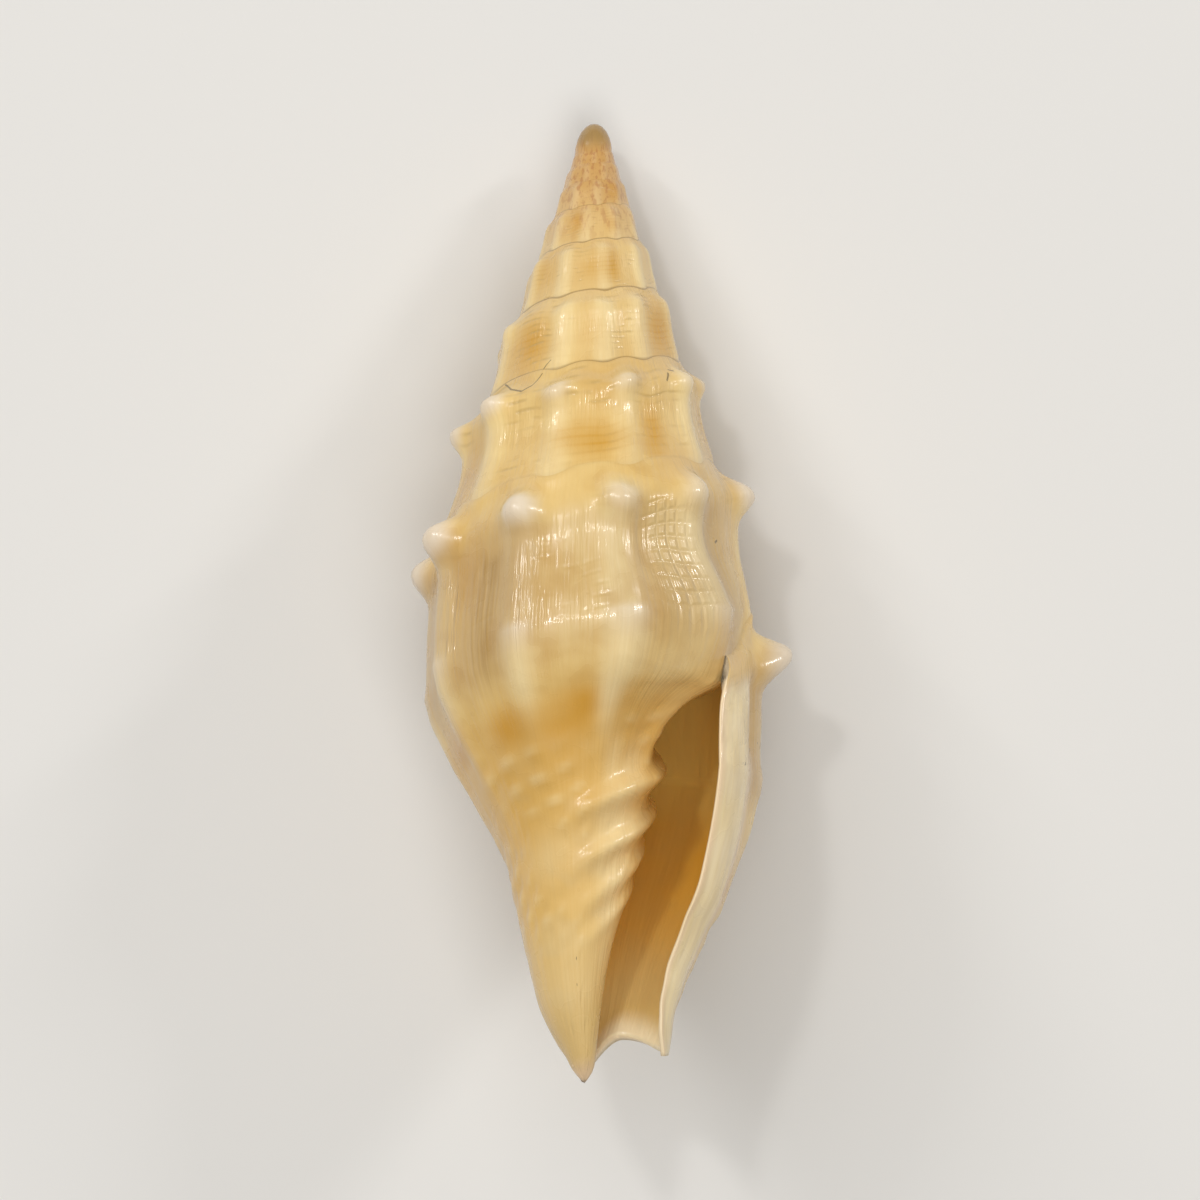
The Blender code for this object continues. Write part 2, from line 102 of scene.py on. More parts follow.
# (height, radius) down the base, from the lower nodules to the canal's end
BASE = {
    -1.111: (
        (13.63, 4.3), (14.2, 4.25), (14.91, 4.14), (15.47, 3.94), (15.81, 3.69), (15.94, 3.33),
        (15.98, 2.8), (16.1, 2.5), (16.5, 2.14), (16.98, 1.83), (17.49, 1.61), (18.2, 1.58),
        (18.91, 1.58), (19.87, 1.47), (20.73, 1.33), (21.38, 1.19), (22.32, 0.93), (22.74, 0.76),
        (23.31, 0.6), (24.16, 0.45), (25.16, 0.34), (25.87, 0.31), (26.58, 0.27), (27.06, 0.01),
    ),
    -0.965: (
        (14.35, 4.39), (15.04, 4.36), (15.68, 4.2), (16.16, 3.85), (16.46, 3.34), (16.86, 2.86),
        (17.5, 2.44), (18.38, 2.2), (19.05, 2.05), (19.74, 1.92), (20.42, 1.78), (21.76, 1.45),
        (23.09, 1.07), (24.42, 0.73), (25.1, 0.6), (25.77, 0.47), (26.44, 0.32), (27.06, 0.01),
    ),
    -0.861: (
        (14.85, 4.42), (15.47, 4.38), (16.18, 4.14), (16.89, 3.64), (17.6, 3.17), (18.46, 2.72),
        (19.59, 2.28), (20.73, 1.97), (21.86, 1.67), (23.00, 1.36), (24.13, 1.06), (25.16, 0.78),
        (25.87, 0.57), (26.58, 0.3), (27.06, 0.01),
    ),
    -0.611: (
        (16.07, 4.38), (16.64, 4.25), (17.32, 3.97), (18.00, 3.66), (18.68, 3.27), (19.19, 3.03),
        (19.87, 2.66), (20.39, 2.41), (20.9, 2.21), (21.41, 2.11), (22.09, 1.96), (22.77, 1.82),
        (23.45, 1.66), (24.13, 1.49), (24.99, 1.26), (25.5, 1.02), (26.01, 0.73), (26.35, 0.51),
        (26.69, 0.34), (27.06, 0.01),
    ),
    -0.361: (
        (17.4, 4.67), (18.17, 4.56), (18.88, 4.25), (19.59, 3.83), (20.3, 3.47), (21.01, 3.14),
        (21.86, 2.75), (22.71, 2.39), (23.57, 2.08), (24.42, 1.83), (25.13, 1.61), (25.7, 1.36),
        (26.18, 1.1), (26.75, 0.66),
    ),
    -0.25: (
        (17.94, 4.69), (18.85, 4.5), (19.87, 4.11), (20.56, 3.8), (21.24, 3.47), (21.92, 3.14),
        (22.77, 2.75), (23.62, 2.44), (24.13, 2.28), (24.64, 2.11), (24.99, 1.97), (25.33, 1.83),
        (25.61, 1.69),
    ),
    -0.111: (
        (18.51, 4.6), (18.85, 4.58), (19.19, 4.52), (19.87, 4.42), (20.56, 4.25), (21.24, 4.06),
        (21.92, 3.86), (22.43, 3.63), (22.77, 3.42), (23.28, 3.2), (23.62, 3.07), (24.13, 2.82),
        (24.64, 2.64), (24.99, 2.47), (25.5, 2.38), (25.84, 2.32), (26.1, 2.24),
    ),
    0.0: (
        (18.74, 4.75), (19.19, 4.7), (19.87, 4.56), (20.56, 4.36), (21.24, 4.15), (21.92, 3.94),
        (22.43, 3.7), (22.77, 3.5), (23.28, 3.27), (23.62, 3.1), (24.13, 2.86), (24.64, 2.72),
        (24.99, 2.6), (25.5, 2.52), (25.84, 2.46), (26.46, 2.38),
    ),
}

# Axial ribs, by turn: the last three whorls one by one, then evenly up the spire
RIBS = (
    -0.114, -0.216, -0.317, -0.408, -0.492, -0.575, -0.674, -0.787, -0.894, -0.985,
    -1.106, -1.187, -1.263, -1.340, -1.425, -1.515, -1.606, -1.715, -1.814, -1.908, -2.022,
    -2.125, -2.234, -2.343, -2.453, -2.562, -2.672, -2.806, -2.883, -2.953, -3.056,
) + tuple(-3.056 - 0.1045 * number for number in range(1, 52))
RIB_WIDTH = 0.021
SUTURE_WAVE = 0.028  # dip of a suture over each rib, as a share of the whorl's height
KNOB_WIDTH = 0.0225
KNOB_HEIGHT = 0.56
SMALL_KNOBS = {-0.894: 0.50, -0.985: 0.50, -0.787: 0.80, -1.814: 0.65, -1.908: 0.65, -2.022: 0.8}

# Folds on the columella: place down the whorl, height and breadth
FOLDS = ((1.902, 0.55, 0.041), (2.033, 0.36, 0.035), (2.142, 0.21, 0.030), (2.245, 0.11, 0.027))


def ease(x, start, end):
    t = np.clip((np.asarray(x, float) - start) / (end - start), 0, 1)
    return t * t * (3 - 2 * t)


def hermite(t, wide, y0, y1, s0, s1):
    return (
        (2 * t**3 - 3 * t**2 + 1) * y0
        + (t**3 - 2 * t**2 + t) * wide * s0
        + (3 * t**2 - 2 * t**3) * y1
        + (t**3 - t**2) * wide * s1
    )


def slopes(xs, ys):
    """Slopes of a smooth curve through the columns of ys that never overshoots."""
    step = np.diff(ys, axis=-1) / np.diff(xs)
    slope = np.gradient(ys, xs, axis=-1)
    before = step[..., :-1]
    after = step[..., 1:]
    limit = 3 * np.minimum(abs(before), abs(after))
    inner = slope[..., 1:-1]
    slope[..., 1:-1] = np.where(before * after > 0, np.sign(inner) * np.minimum(abs(inner), limit), 0)
    slope[..., 0] = step[..., 0]
    slope[..., -1] = step[..., -1]
    return slope


def located(x, xs):
    """For each x: the step between the xs that it is in, that step's width, and how far along it is."""
    x = np.clip(np.asarray(x, float), xs[0], xs[-1])
    k = np.clip(np.searchsorted(xs, x, side="right") - 1, 0, len(xs) - 2)
    wide = xs[k + 1] - xs[k]
    return k, wide, (x - xs[k]) / wide


def curve(x, xs, ys):
    """Smooth curve through (xs, ys), read at x. The last axis of ys runs along xs."""
    xs = np.asarray(xs, float)
    ys = np.asarray(ys, float)
    slope = slopes(xs, ys)
    k, wide, t = located(x, xs)
    return hermite(t, wide, ys[..., k], ys[..., k + 1], slope[..., k], slope[..., k + 1])


def along_rows(x, xs, rows):
    """As curve, but row c of x is read on row c of rows."""
    xs = np.asarray(xs, float)
    slope = slopes(xs, rows)
    k, wide, t = located(x, xs)
    c = np.arange(len(rows))[:, None]
    return hermite(t, wide, rows[c, k], rows[c, k + 1], slope[c, k], slope[c, k + 1])


def even_steps(points, count):
    """The curve through the points, as count points at even distances."""
    points = np.array(points)
    along = np.r_[0, np.cumsum(np.hypot(*np.diff(points, axis=0).T))]
    return curve(np.linspace(0, along[-1], count), along, points.T)


SIDE_TURNS = np.array(list(SIDE))
SIDE_TABLE = np.array(list(SIDE.values())).T
BASE_TURNS = np.array(list(BASE))
BASE_STEPS = np.linspace(1, 2, 41)
BASE_TABLE = np.stack([even_steps(points, 41) for points in BASE.values()], axis=-1)


def whorl_height(turn):
    return SUTURE * GROWTH ** (np.asarray(turn, float) - SUTURE_TURN)


def low_level(turn):
    """Level where the next whorl's suture lies: it dips over the base just at the lip."""
    return 1 + 0.09 * ease(turn, -1.135, -1.0) * (1 - ease(turn, -1.0, -0.8))


def profile(turn, level, suture=True):
    """(radius, height) of the smooth outer form, without ribs. level has a row for each turn."""
    size = whorl_height(turn)[:, None]
    ratio = curve(turn, SIDE_TURNS, SIDE_TABLE).T
    base = curve(turn, BASE_TURNS, BASE_TABLE)
    base_height = along_rows(level, BASE_STEPS, base[0].T)
    base_radius = along_rows(level, BASE_STEPS, base[1].T)
    low = np.where(turn < COVERED_TURN, size[:, 0] * GROWTH, base[0, 0])[:, None]
    radius = APEX_RADIUS + size * along_rows(level, SIDE_LEVELS, ratio)
    height = np.broadcast_to(low, level.shape)
    if suture:
        top = edge(turn - 1)
        height = top[1] + (low - top[1]) * level
        start = APEX_RADIUS + size * ratio[:, :1]
        radius = radius + (top[0] - start) * (1 - ease(level, 0, 0.16))
        radius = radius + 0.004 * size * ease(level, 0, 0.02) * (1 - ease(level, 0.1, 0.3))
    return np.where(level > 1, base_radius, radius), np.where(level > 1, base_height, height)


def edge(turn):
    """(radius, height) of a whorl's lower edge, on which the next whorl's suture lies."""
    level = low_level(turn)[:, None]
    radius, height = profile(turn, level, suture=False)
    out, up = relief(turn, level)[:2]
    early = ease(-turn, 1.3, 1.5)[:, None]
    wave = SUTURE_WAVE * whorl_height(turn)[:, None] * near_rib(turn, level, RIB_WIDTH) * early
    return radius + out, height - up + wave


def near_rib(turn, level, width):
    """1 on the ridge of each rib, falling to 0 between them."""
    turn = np.asarray(turn)[:, None]
    found = np.zeros(level.shape)
    for rib in RIBS:
        found += np.exp(-(((turn - rib) / width) ** 2))
    return found


def relief(turn, level):
    """Outward and upward height of the ribs, knobs, nodules and folds, then the rib and knob masks."""
    turn = np.asarray(turn)[:, None]
    out = np.zeros(level.shape)
    up = np.zeros(level.shape)
    ribs = np.zeros(level.shape)
    knobs = np.zeros(level.shape)
    shoulder = 0.25 + 0.06 * ease(turn, -0.6, -0.111) + 0.04 * ease(turn, -0.1, 0)
    shoulder = shoulder + 0.035 * ease(turn, -1.75, -1.65) * (1 - ease(turn, -1.56, -1.45))
    fade_start = 1 + 0.05 * ease(turn, -1, -0.85)
    fade_end = 1.12 + 0.33 * ease(turn, -1, -0.85)
    side = ease(level, 0.02, 0.25) * (1 - ease((level - fade_start) / (fade_end - fade_start), 0, 1))
    above = np.where(level < shoulder, 0.095 + 0.03 * ease(turn, -1.2, -1.1), 0.115)
    for rib in RIBS:
        away = turn - rib
        size = float(whorl_height(rib)) / 11.36
        late = float(ease(rib, -3.2, -1.2))
        low = 0.07 * float(ease(rib, -1.3, -0.9))
        crest = np.exp(-((away / RIB_WIDTH) ** 2))
        ridge = crest * (0.18 if rib > -0.2 else 0.23) * float(ease(rib, -8.2, -6.5))
        reach = (away / KNOB_WIDTH) ** 2 + ((level - shoulder) / above) ** 2
        knob = np.exp(-(reach**1.35)) * late
        nodule = np.exp(-((away / 0.022) ** 2) - ((level - 1) / 0.06) ** 2)
        raised = knob * (KNOB_HEIGHT + (0.14 if rib > -0.2 else 0)) * SMALL_KNOBS.get(rib, 1)
        out += size * (side * ridge + raised + nodule * low)
        up += size * raised * 0.25
        ribs += side * crest
        knobs += knob * SMALL_KNOBS.get(rib, 1) + 0.5 * nodule * low / 0.07
    place = profile_height_share(turn, level)
    inside = (level > 1) * (1 - ease(turn, -0.97, -0.76))
    for at, high, wide in FOLDS:
        out += inside * high * np.exp(-(((place - at) / wide) ** 2))
    return out, up, ribs, knobs


def profile_height_share(turn, level):
    """Height on the base over the height of its own whorl, which stays even along a fold."""
    base = curve(turn[:, 0], BASE_TURNS, BASE_TABLE[0])
    return along_rows(level, BASE_STEPS, base.T) / whorl_height(turn)


def spot(turn, level, at, place, long, high):
    """1 at a place on the shell, falling off softly over long turns and high levels."""
    return np.exp(-(((turn - at) / long) ** 2) - ((level - place) / high) ** 2)


BEAD_HEIGHT = 0.04
CORD_SPACING = 0.066  # on the base, as a share of the whorl's height
BEADS_PER_TURN = 21


def beads(turn, level):
    """Oblique cords of beads on the base, 1 on a bead and -1 between."""
    place = profile_height_share(turn, level)
    cord = np.cos(2 * math.pi * (place - FOLDS[0][0]) / CORD_SPACING + 0.6 * np.sin(turn * 41))
    bead = 0.5 + 0.5 * np.cos(2 * math.pi * (turn * BEADS_PER_TURN + place * 3.1) + 1.1 * np.sin(place * 31))
    uneven = 0.6 + 0.4 * np.sin(turn * 29 + place * 17)
    return cord * (0.2 + 0.8 * bead) * uneven


# Rows of small dots where the side meets the base: level, height, middle turn and half length
DOT_ROWS = (
    (0.972, 0.040, -0.888, 0.020),
    (1.035, 0.045, -0.944, 0.032),
    (1.06, 0.012, -0.60, 0.30),
    (1.1, 0.010, -0.82, 0.06),
)
DOTS_PER_TURN = 62

# Pauses in growth on the last whorl's front: turn, height of the step, and length behind it
GROWTH_PAUSES = ((-0.909, 0.05, 0.05), (-0.999, 0.09, 0.06))


def sculpture(turn, level):
    """Low outward relief: steps where growth paused, cords and beads on the base, and the lip's band."""
    turn = turn[:, None]
    out = np.zeros(level.shape)
    # growth pauses on the last whorl's front
    window = ease(level, 0.2, 0.34) * (1 - ease(level, 0.85, 1.0))
    for at, high, long in GROWTH_PAUSES:
        behind = (1 - ease(turn, at - 0.004, at + 0.003)) * ease(turn, at - long, at - 0.004)
        out -= window * high * behind
    # oblique cords with beads
    seen = ease(level, 1.16, 1.3) * (turn > -1.03) * (1 - ease(level, 1.6, 1.78))
    seen = seen * (1 - ease(turn, -0.1, -0.07))
    out += seen * BEAD_HEIGHT * beads(turn, level)
    # rows of beads where the side meets the base
    for row, high, middle, long in DOT_ROWS:
        dots = 0.5 + 0.5 * np.cos(2 * math.pi * turn * DOTS_PER_TURN + 3 * row + 0.8 * np.sin(turn * 97))
        here = np.exp(-(((turn - middle) / long) ** 4)) * (0.5 + 0.5 * np.sin(turn * 140 + 5 * row))
        out += high * dots * here * np.exp(-(((level - row) / 0.022) ** 2))
    # the band of the lip is rounded and stands clear of the last knob
    band = ease(level, 0.3, 0.42) * (1 - ease(level, 0.75, 0.95))
    out -= 0.12 * band * np.exp(-(((turn + 0.076) / 0.011) ** 2))
    across = np.clip((turn + 0.07) / 0.07, 0, 1)
    swell = ease(level, 0.3, 0.5) * (1 - ease(level, 1.75, 1.95))
    out += swell * (0.07 * np.sin(math.pi * across) - 0.05 * across**3)
    striae = np.sin(across * 31 + 1.5 * np.sin(level * 9)) * (0.5 + 0.5 * np.sin(level * 23 + across * 5))
    out += swell * 0.008 * striae * (across > 0)
    return out


# Soft stains and pale streaks: turn, level, half length, half height, strength
GOLD = (
    (-3.01, 0.62, 0.04, 0.44, 1.0), (-2.745, 0.6, 0.042, 0.36, 1.0), (-1.872, 0.8, 0.038, 0.2, 0.85),
    (-1.951, 0.72, 0.018, 0.3, 0.9), (-1.835, 0.7, 0.03, 0.12, 0.45), (-3.912, 0.58, 0.022, 0.36, 0.95),
    (-3.862, 0.56, 0.04, 0.26, 0.55), (-3.719, 0.45, 0.035, 0.45, 0.6), (-4.803, 0.45, 0.03, 0.35, 0.9),
    (-5.965, 0.45, 0.045, 0.5, 0.9), (-2.86, 0.55, 0.025, 0.3, 0.3), (-2.105, 0.65, 0.022, 0.32, 0.6),
    (-1.66, 0.66, 0.03, 0.34, 0.55), (-1.47, 0.7, 0.034, 0.3, 0.6), (-1.23, 0.7, 0.034, 0.3, 0.6),
    (-2.4, 0.62, 0.034, 0.34, 0.8), (-2.51, 0.62, 0.03, 0.34, 0.6), (-3.35, 0.55, 0.03, 0.36, 0.8),
    (-3.56, 0.55, 0.034, 0.36, 0.7), (-4.45, 0.5, 0.04, 0.36, 0.8), (-4.93, 0.6, 0.03, 0.3, 0.6),
    (-5.4, 0.5, 0.04, 0.36, 0.8), (-0.712, 0.45, 0.02, 0.3, 0.25),
)
ORANGE = (
    (-0.862, 1.19, 0.042, 0.05, 1.0), (-0.752, 1.2, 0.036, 0.045, 0.95),
    (-0.83, 1.23, 0.055, 0.045, 0.6),
    (-0.985, 1.06, 0.02, 0.06, 0.4), (-0.64, 1.18, 0.04, 0.05, 0.8),
    (-0.53, 1.18, 0.04, 0.05, 0.9), (-0.43, 1.16, 0.04, 0.05, 0.8), (-0.33, 1.16, 0.04, 0.05, 0.8),
    (-0.22, 1.18, 0.04, 0.05, 0.6), (-0.07, 1.4, 0.014, 0.05, 0.9),
    (-0.79, 1.3, 0.09, 0.06, 0.15),
)
PALE_STREAKS = (
    (-0.787, 1.1, 0.012, 0.075, 0.9), (-0.893, 1.08, 0.013, 0.06, 0.7), (-0.885, 1.17, 0.015, 0.09, 1.0),
    (-0.905, 1.34, 0.016, 0.07, 0.55), (-0.674, 1.06, 0.016, 0.08, 0.7),
    (-0.89, 0.2, 0.014, 0.08, 0.5),
    (-0.575, 1.08, 0.014, 0.08, 0.6), (-0.492, 1.08, 0.014, 0.08, 0.6), (-0.408, 1.08, 0.014, 0.08, 0.6),
    (-0.317, 1.08, 0.014, 0.08, 0.6), (-0.925, 1.47, 0.05, 0.09, 0.95),
    (-0.945, 1.6, 0.05, 0.11, 0.95),
    (-0.78, 1.5, 0.08, 0.06, 0.5), (-0.95, 1.36, 0.03, 0.05, 0.6), (-0.94, 1.13, 0.028, 0.06, 0.5),
)
OLIVE = (
    (-0.92, 1.29, 0.02, 0.06, 0.8), (-0.762, 0.62, 0.03, 0.35, 0.4), (-0.7, 1.15, 0.02, 0.1, 0.3),
    (-1.68, 0.45, 0.02, 0.35, 0.6), (-1.03, 0.7, 0.03, 0.45, 0.6), (-0.935, 0.7, 0.018, 0.4, 0.5),
)


def stains(turn, level):
    """Strength of gold, orange, pale and olive colour at each point."""
    found = []
    for spots in (GOLD, ORANGE, PALE_STREAKS, OLIVE):
        clear = np.ones(turn.shape)
        for at, place, long, high, strength in spots:
            clear *= 1 - strength * spot(turn, level, at, place, long, high)
        found.append(1 - clear)
    on_base = ease(level, 1.16, 1.3) * (1 - ease(level, 1.55, 1.75)) * (turn > -1.03) * (turn < -0.08)
    bead = beads(turn[:, None], level[:, None])[:, 0] * on_base
    found[2] = np.maximum(found[2], 0.4 * ease(bead, -0.1, 0.9))
    found[3] = np.maximum(found[3], 0.8 * ease(-bead, 0.05, 0.7))
    return found


def lag(turn, level):
    """How far the growing edge lags behind an axial plane, in turns."""
    turn = np.asarray(turn)[:, None]
    low = low_level(turn)
    places = (0, 0.07, 0.2, 0.36, 0.6, 1.05, 1.31, 1.55, 1.76, 1.85, 1.93, 2.0)
    line = curve(level, places, (13, 11, 7, 4, 2, 1.5, 3.5, 4, 5, 7, 10.5, 18))
    lip = line * ease(turn, -0.15 - 0.15 * ease(level, 0.9, 1.1), 0)
    under = 13 * ease(level, 0.5, low) * (1 - ease((level - low) / 0.3, 0, 1))
    near = np.where(turn < -1, ease(turn, -1.15, -1), 1 - ease(turn, -1, -0.85)) * (turn < -0.5)
    return (lip + under * near) / 360


def in_space(turn, level, radius, height):
    """Points with X to the right, Y to the apex and Z to the front, in millimetres."""
    angle = math.radians(LIP_ANGLE) + 2 * math.pi * (np.asarray(turn)[:, None] - lag(turn, level))
    return np.stack([-radius * np.sin(angle), -height, radius * np.cos(angle)], axis=-1)


def deposit(turn, level):
    """The shell laid on the body where the lip's upper end meets it."""
    along = np.exp(-(((np.asarray(turn)[:, None] + 1.006) / 0.03) ** 2))
    return 0.32 * ease(level, 1.08, 1.14) * (1 - ease(level, 1.2, 1.45)) * along


def outer(turn, level):
    radius, height = profile(turn, level)
    out, up = relief(turn, level)[:2]
    added = deposit(turn, level)
    return in_space(turn, level, radius + out + sculpture(turn, level) + added, height - up + 0.5 * added)


def inner(turn, level, share):
    """The inside of the last whorl's wall. Deep in, it closes on the columella."""
    step = 0.03
    radius, height = profile(turn, level)
    before = profile(turn, level - step)
    after = profile(turn, level + step)
    run_r = after[0] - before[0]
    run_h = after[1] - before[1]
    long = np.hypot(run_r, run_h) + 1e-9
    wall = (DEEP_WALL - (DEEP_WALL - LIP_WALL) * ease(turn, -0.12, 0))[:, None]
    radius = radius - wall * run_h / long
    height = height + wall * run_r / long
    past = turn - 1
    core = profile(past, inner_base_level(past, share))
    close = 0.8 * (1 - ease(turn, -PASSAGE, -PASSAGE + 0.2))[:, None]
    radius = radius + (core[0] - radius) * close
    height = height + (core[1] - height) * close
    return in_space(turn, level, radius, height)


def inner_base_level(turn, share):
    start = low_level(turn)[:, None] + 0.05
    return start + (2 - start) * share


class Surface:
    """Points of the shell, and faces whose corners keep the turn and level that they grew at."""

    def __init__(self):
        self.points = []
        self.grown = []  # (turn, level) of each point
        self.index = {}
        self.faces = []
        self.corners = []  # (turn, level) of each face corner
        self.regions = []  # 0 outside, 1 inside of the wall, 2 lip and rims

    def add(self, key, position, turn, level):
        self.index[key] = len(self.points)
        self.points.append(tuple(position))
        self.grown.append((turn, level))

    def face(self, corners, region, raised=()):
        """A face of point numbers. raised maps some of them to their place on the whorl above."""
        corners = [c for c in corners if c is not None]
        unique = [c for n, c in enumerate(corners) if c != corners[n - 1]][::-1]
        if len(set(unique)) > 2:
            self.faces.append(unique)
            self.corners.append([raised[c] if c in raised else self.grown[c] for c in unique])
            self.regions.append(region)


def wind_shell():
    """The whole closed surface."""
    made = Surface()
    add = made.add
    index = made.index
    side_count = SIDE_ROWS
    last = BASE_ROWS - 1
    first = 2 * round(FIRST_TURN * COLUMNS / 2)
    early = 2 * round(EARLY_TURN * COLUMNS / 2)
    deep = round(PASSAGE * COLUMNS)
    pole = "tip"

    # outer side of every whorl: its last row is the next whorl's first
    turns = np.arange(first, 1) / COLUMNS
    levels = np.linspace(0, 1, side_count + 1)[None, :] ** 1.15 * low_level(turns)[:, None]
    grid = outer(turns, levels)
    for i, row, level_row, turn in zip(range(first, 1), grid, levels, turns):
        for j in range(side_count + 1):
            kept = i >= early or (i % 2 == 0 and j % 2 == 0)
            if kept and (j < side_count or i > -COLUMNS):
                add((i, j), row[j], turn, level_row[j])

    def side(i, j):
        return index.get((i + COLUMNS, 0) if j == side_count and i <= -COLUMNS else (i, j))

    def low_edge(i):
        """The points on this whorl's lower edge belong to the next whorl, whose level there is 0."""
        if i > -COLUMNS:
            return {}
        return {side(n, side_count): (n / COLUMNS, 1.0) for n in (i, i + 1, i + 2)}

    # base of the last whorl, going on inside as the columella
    shares = np.linspace(0, 1, BASE_ROWS)
    turns = np.arange(-COLUMNS - deep, 1) / COLUMNS
    levels = inner_base_level(turns, shares[None, :])
    grid = outer(turns, levels)
    for i, row, level_row, turn in zip(range(-COLUMNS - deep, 1), grid, levels, turns):
        for j in range(BASE_ROWS):
            if j < last or i > -deep:
                add(("base", i, j), row[j], turn, level_row[j])
    add(pole, (0, -LENGTH, 0), -0.8, 2.0)

    def base(i, j):
        return index.get(("base", i, j), index[pole])

    # inside of the wall
    turns = np.arange(-deep, 1) / COLUMNS
    start = 0.30 + 0.04 * ease(turns, -0.1, 0)[:, None]
    levels = start + (2 - start) * shares[None, :]
    grid = inner(turns, levels, shares[None, :])
    for i, row, level_row, turn in zip(range(-deep, 1), grid, levels, turns):
        for j in range(1, BASE_ROWS):
            if j < last or i > -deep:
                add(("wall", i, j), row[j], turn, level_row[j])

    def wall(i, j):
        return base(i - COLUMNS, 0) if j == 0 else index.get(("wall", i, j), index[pole])

    round_it = ((0, 0), (0, 1), (0, 2), (1, 2), (2, 2), (2, 1), (2, 0), (1, 0))
    for i in range(first, early, 2):
        for j in range(0, side_count, 2):
            raised = low_edge(i) if j == side_count - 2 else ()
            made.face([side(i + a, j + b) for a, b in round_it], 0, raised)
    for i in range(early, 0):
        for j in range(side_count):
            raised = low_edge(i) if j == side_count - 1 else ()
            made.face((side(i, j), side(i, j + 1), side(i + 1, j + 1), side(i + 1, j)), 0, raised)
    for i in range(-COLUMNS, 0):
        corners = (side(i, side_count), base(i, 0), base(i + 1, 0), side(i + 1, side_count))
        made.face(corners, 0, low_edge(i))
    for i in range(-COLUMNS - deep, 0):
        for j in range(last):
            made.face((base(i, j), base(i, j + 1), base(i + 1, j + 1), base(i + 1, j)), 0)
    for i in range(-deep, 0):
        for j in range(last):
            made.face((wall(i, j), wall(i + 1, j), wall(i + 1, j + 1), wall(i, j + 1)), 1)
    # rim of the notch, then of the lip
    for i in range(-deep, 0):
        made.face((base(i, last), wall(i, last), wall(i + 1, last), base(i + 1, last)), 2)
    out_rim = [side(0, j) for j in range(side_count + 1)] + [base(0, j) for j in range(BASE_ROWS)]
    in_rim = [wall(0, j) for j in range(BASE_ROWS)]
    stitch(out_rim, in_rim, made)
    # end of the hollow
    for j in range(last):
        end = (wall(-deep, j), wall(-deep, j + 1), base(-COLUMNS - deep, j + 1), base(-COLUMNS - deep, j))
        made.face(end, 1)
    # dome of the apex
    loop = [side(first + k, 0) for k in range(0, COLUMNS, 2)]
    loop += [side(first, j) for j in range(side_count, 0, -2)]
    ring = loop
    for turned in (75, 60, 45, 30, 15):
        s = math.sin(math.radians(turned))
        c = 1 - math.cos(math.radians(turned))
        now = []
        for v in loop:
            x, y, z = made.points[v]
            now.append(len(made.points))
            made.points.append((x * s, y * c, z * s))
            made.grown.append((made.grown[v][0], made.grown[v][1] - (90 - turned) / 90))
        for n in range(len(loop)):
            made.face((now[n - 1], ring[n - 1], ring[n], now[n]), 0)
        ring = now
    made.points.append((0, 0, 0))
    made.grown.append((FIRST_TURN, 0.5))
    for n in range(len(loop)):
        made.face((len(made.points) - 1, ring[n - 1], ring[n]), 0)
    return made


def stitch(one, two, made):
    """Triangles between two rows of points that run side by side."""
    a = 0
    b = 0
    while a < len(one) - 1 or b < len(two) - 1:
        left = a < len(one) - 1
        right = b < len(two) - 1
        if left and right:
            left = math.dist(made.points[one[a + 1]], made.points[two[b]]) <= math.dist(
                made.points[one[a]], made.points[two[b + 1]]
            )
        if left:
            made.face((one[a], one[a + 1], two[b]), 2)
            a += 1
        else:
            made.face((one[a], two[b + 1], two[b]), 2)
            b += 1


def laid_down(points):
    """The points in the frame's place, in metres: the shell on its back, the knobs below worn flat."""
    points = np.array(points) * MM
    turn = mathutils.Matrix.Rotation(math.radians(REST_PITCH), 3, "X")
    points = points @ np.array(turn).T
    low = points.min(axis=0)
    high = points.max(axis=0)
    low[2] += REST_CUT * MM
    # a fine surface reaches a little further than the facets of the solid: it is fitted to the solid's box
    want_low = np.array(cad_low)
    want_high = np.array(cad_high)
    scale = (want_high - want_low) / (high - low)
    print("fit to the box", scale)
    points = want_low + (points - low) * scale
    points[:, 2] = np.maximum(points[:, 2], want_low[2])
    return points


def shell_mesh():
    made = wind_shell()
    mesh = bpy.data.meshes.new("shell_surface")
    mesh.from_pydata([tuple(p) for p in laid_down(made.points)], [], made.faces)
    corners = np.array([c for face in made.corners for c in face])
    growth = mesh.uv_layers.new(name="growth")
    growth.data.foreach_set("uv", corners.ravel())
    ribs, knobs = relief(corners[:, 0], corners[:, 1:])[2:]
    masks = mesh.uv_layers.new(name="masks")
    masks.data.foreach_set("uv", np.hstack([ribs, knobs]).ravel())
    tints = mesh.color_attributes.new("stains", "FLOAT_COLOR", "CORNER")
    tints.data.foreach_set("color", np.stack(stains(corners[:, 0], corners[:, 1]), axis=-1).ravel())
    mesh.polygons.foreach_set("material_index", np.array(made.regions, np.int32))
    mesh.shade_smooth()
    mesh.update()
    return mesh


